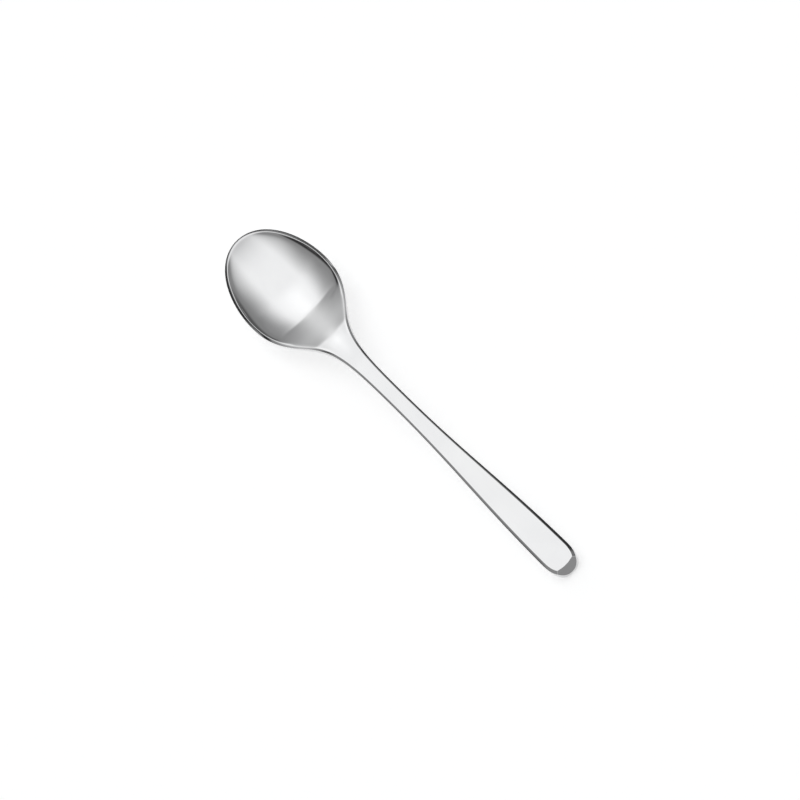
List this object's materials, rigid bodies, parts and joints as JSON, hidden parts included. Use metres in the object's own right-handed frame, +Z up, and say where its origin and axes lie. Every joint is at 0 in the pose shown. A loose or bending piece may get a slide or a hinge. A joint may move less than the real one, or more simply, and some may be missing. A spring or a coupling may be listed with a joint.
{
  "type": "coffee spoon",
  "caption": "Small polished steel coffee spoon with an egg-shaped hollow bowl, a thin neck and a flat handle that widens to a blunt, rounded end with bevelled edges.",
  "frame": {"origin": "on the table, under the middle of the spoon's box", "axes": "+X along the spoon towards the end of the handle, +Y across it, +Z up out of the bowl"},
  "size_m": [0.1119, 0.0214, 0.0056],
  "materials": {
    "polished_steel": "polished"
  },
  "bodies": {
    "root": {"bowl": "polished_steel", "neck": "polished_steel", "handle": "polished_steel"}
  },
  "joints": []
}
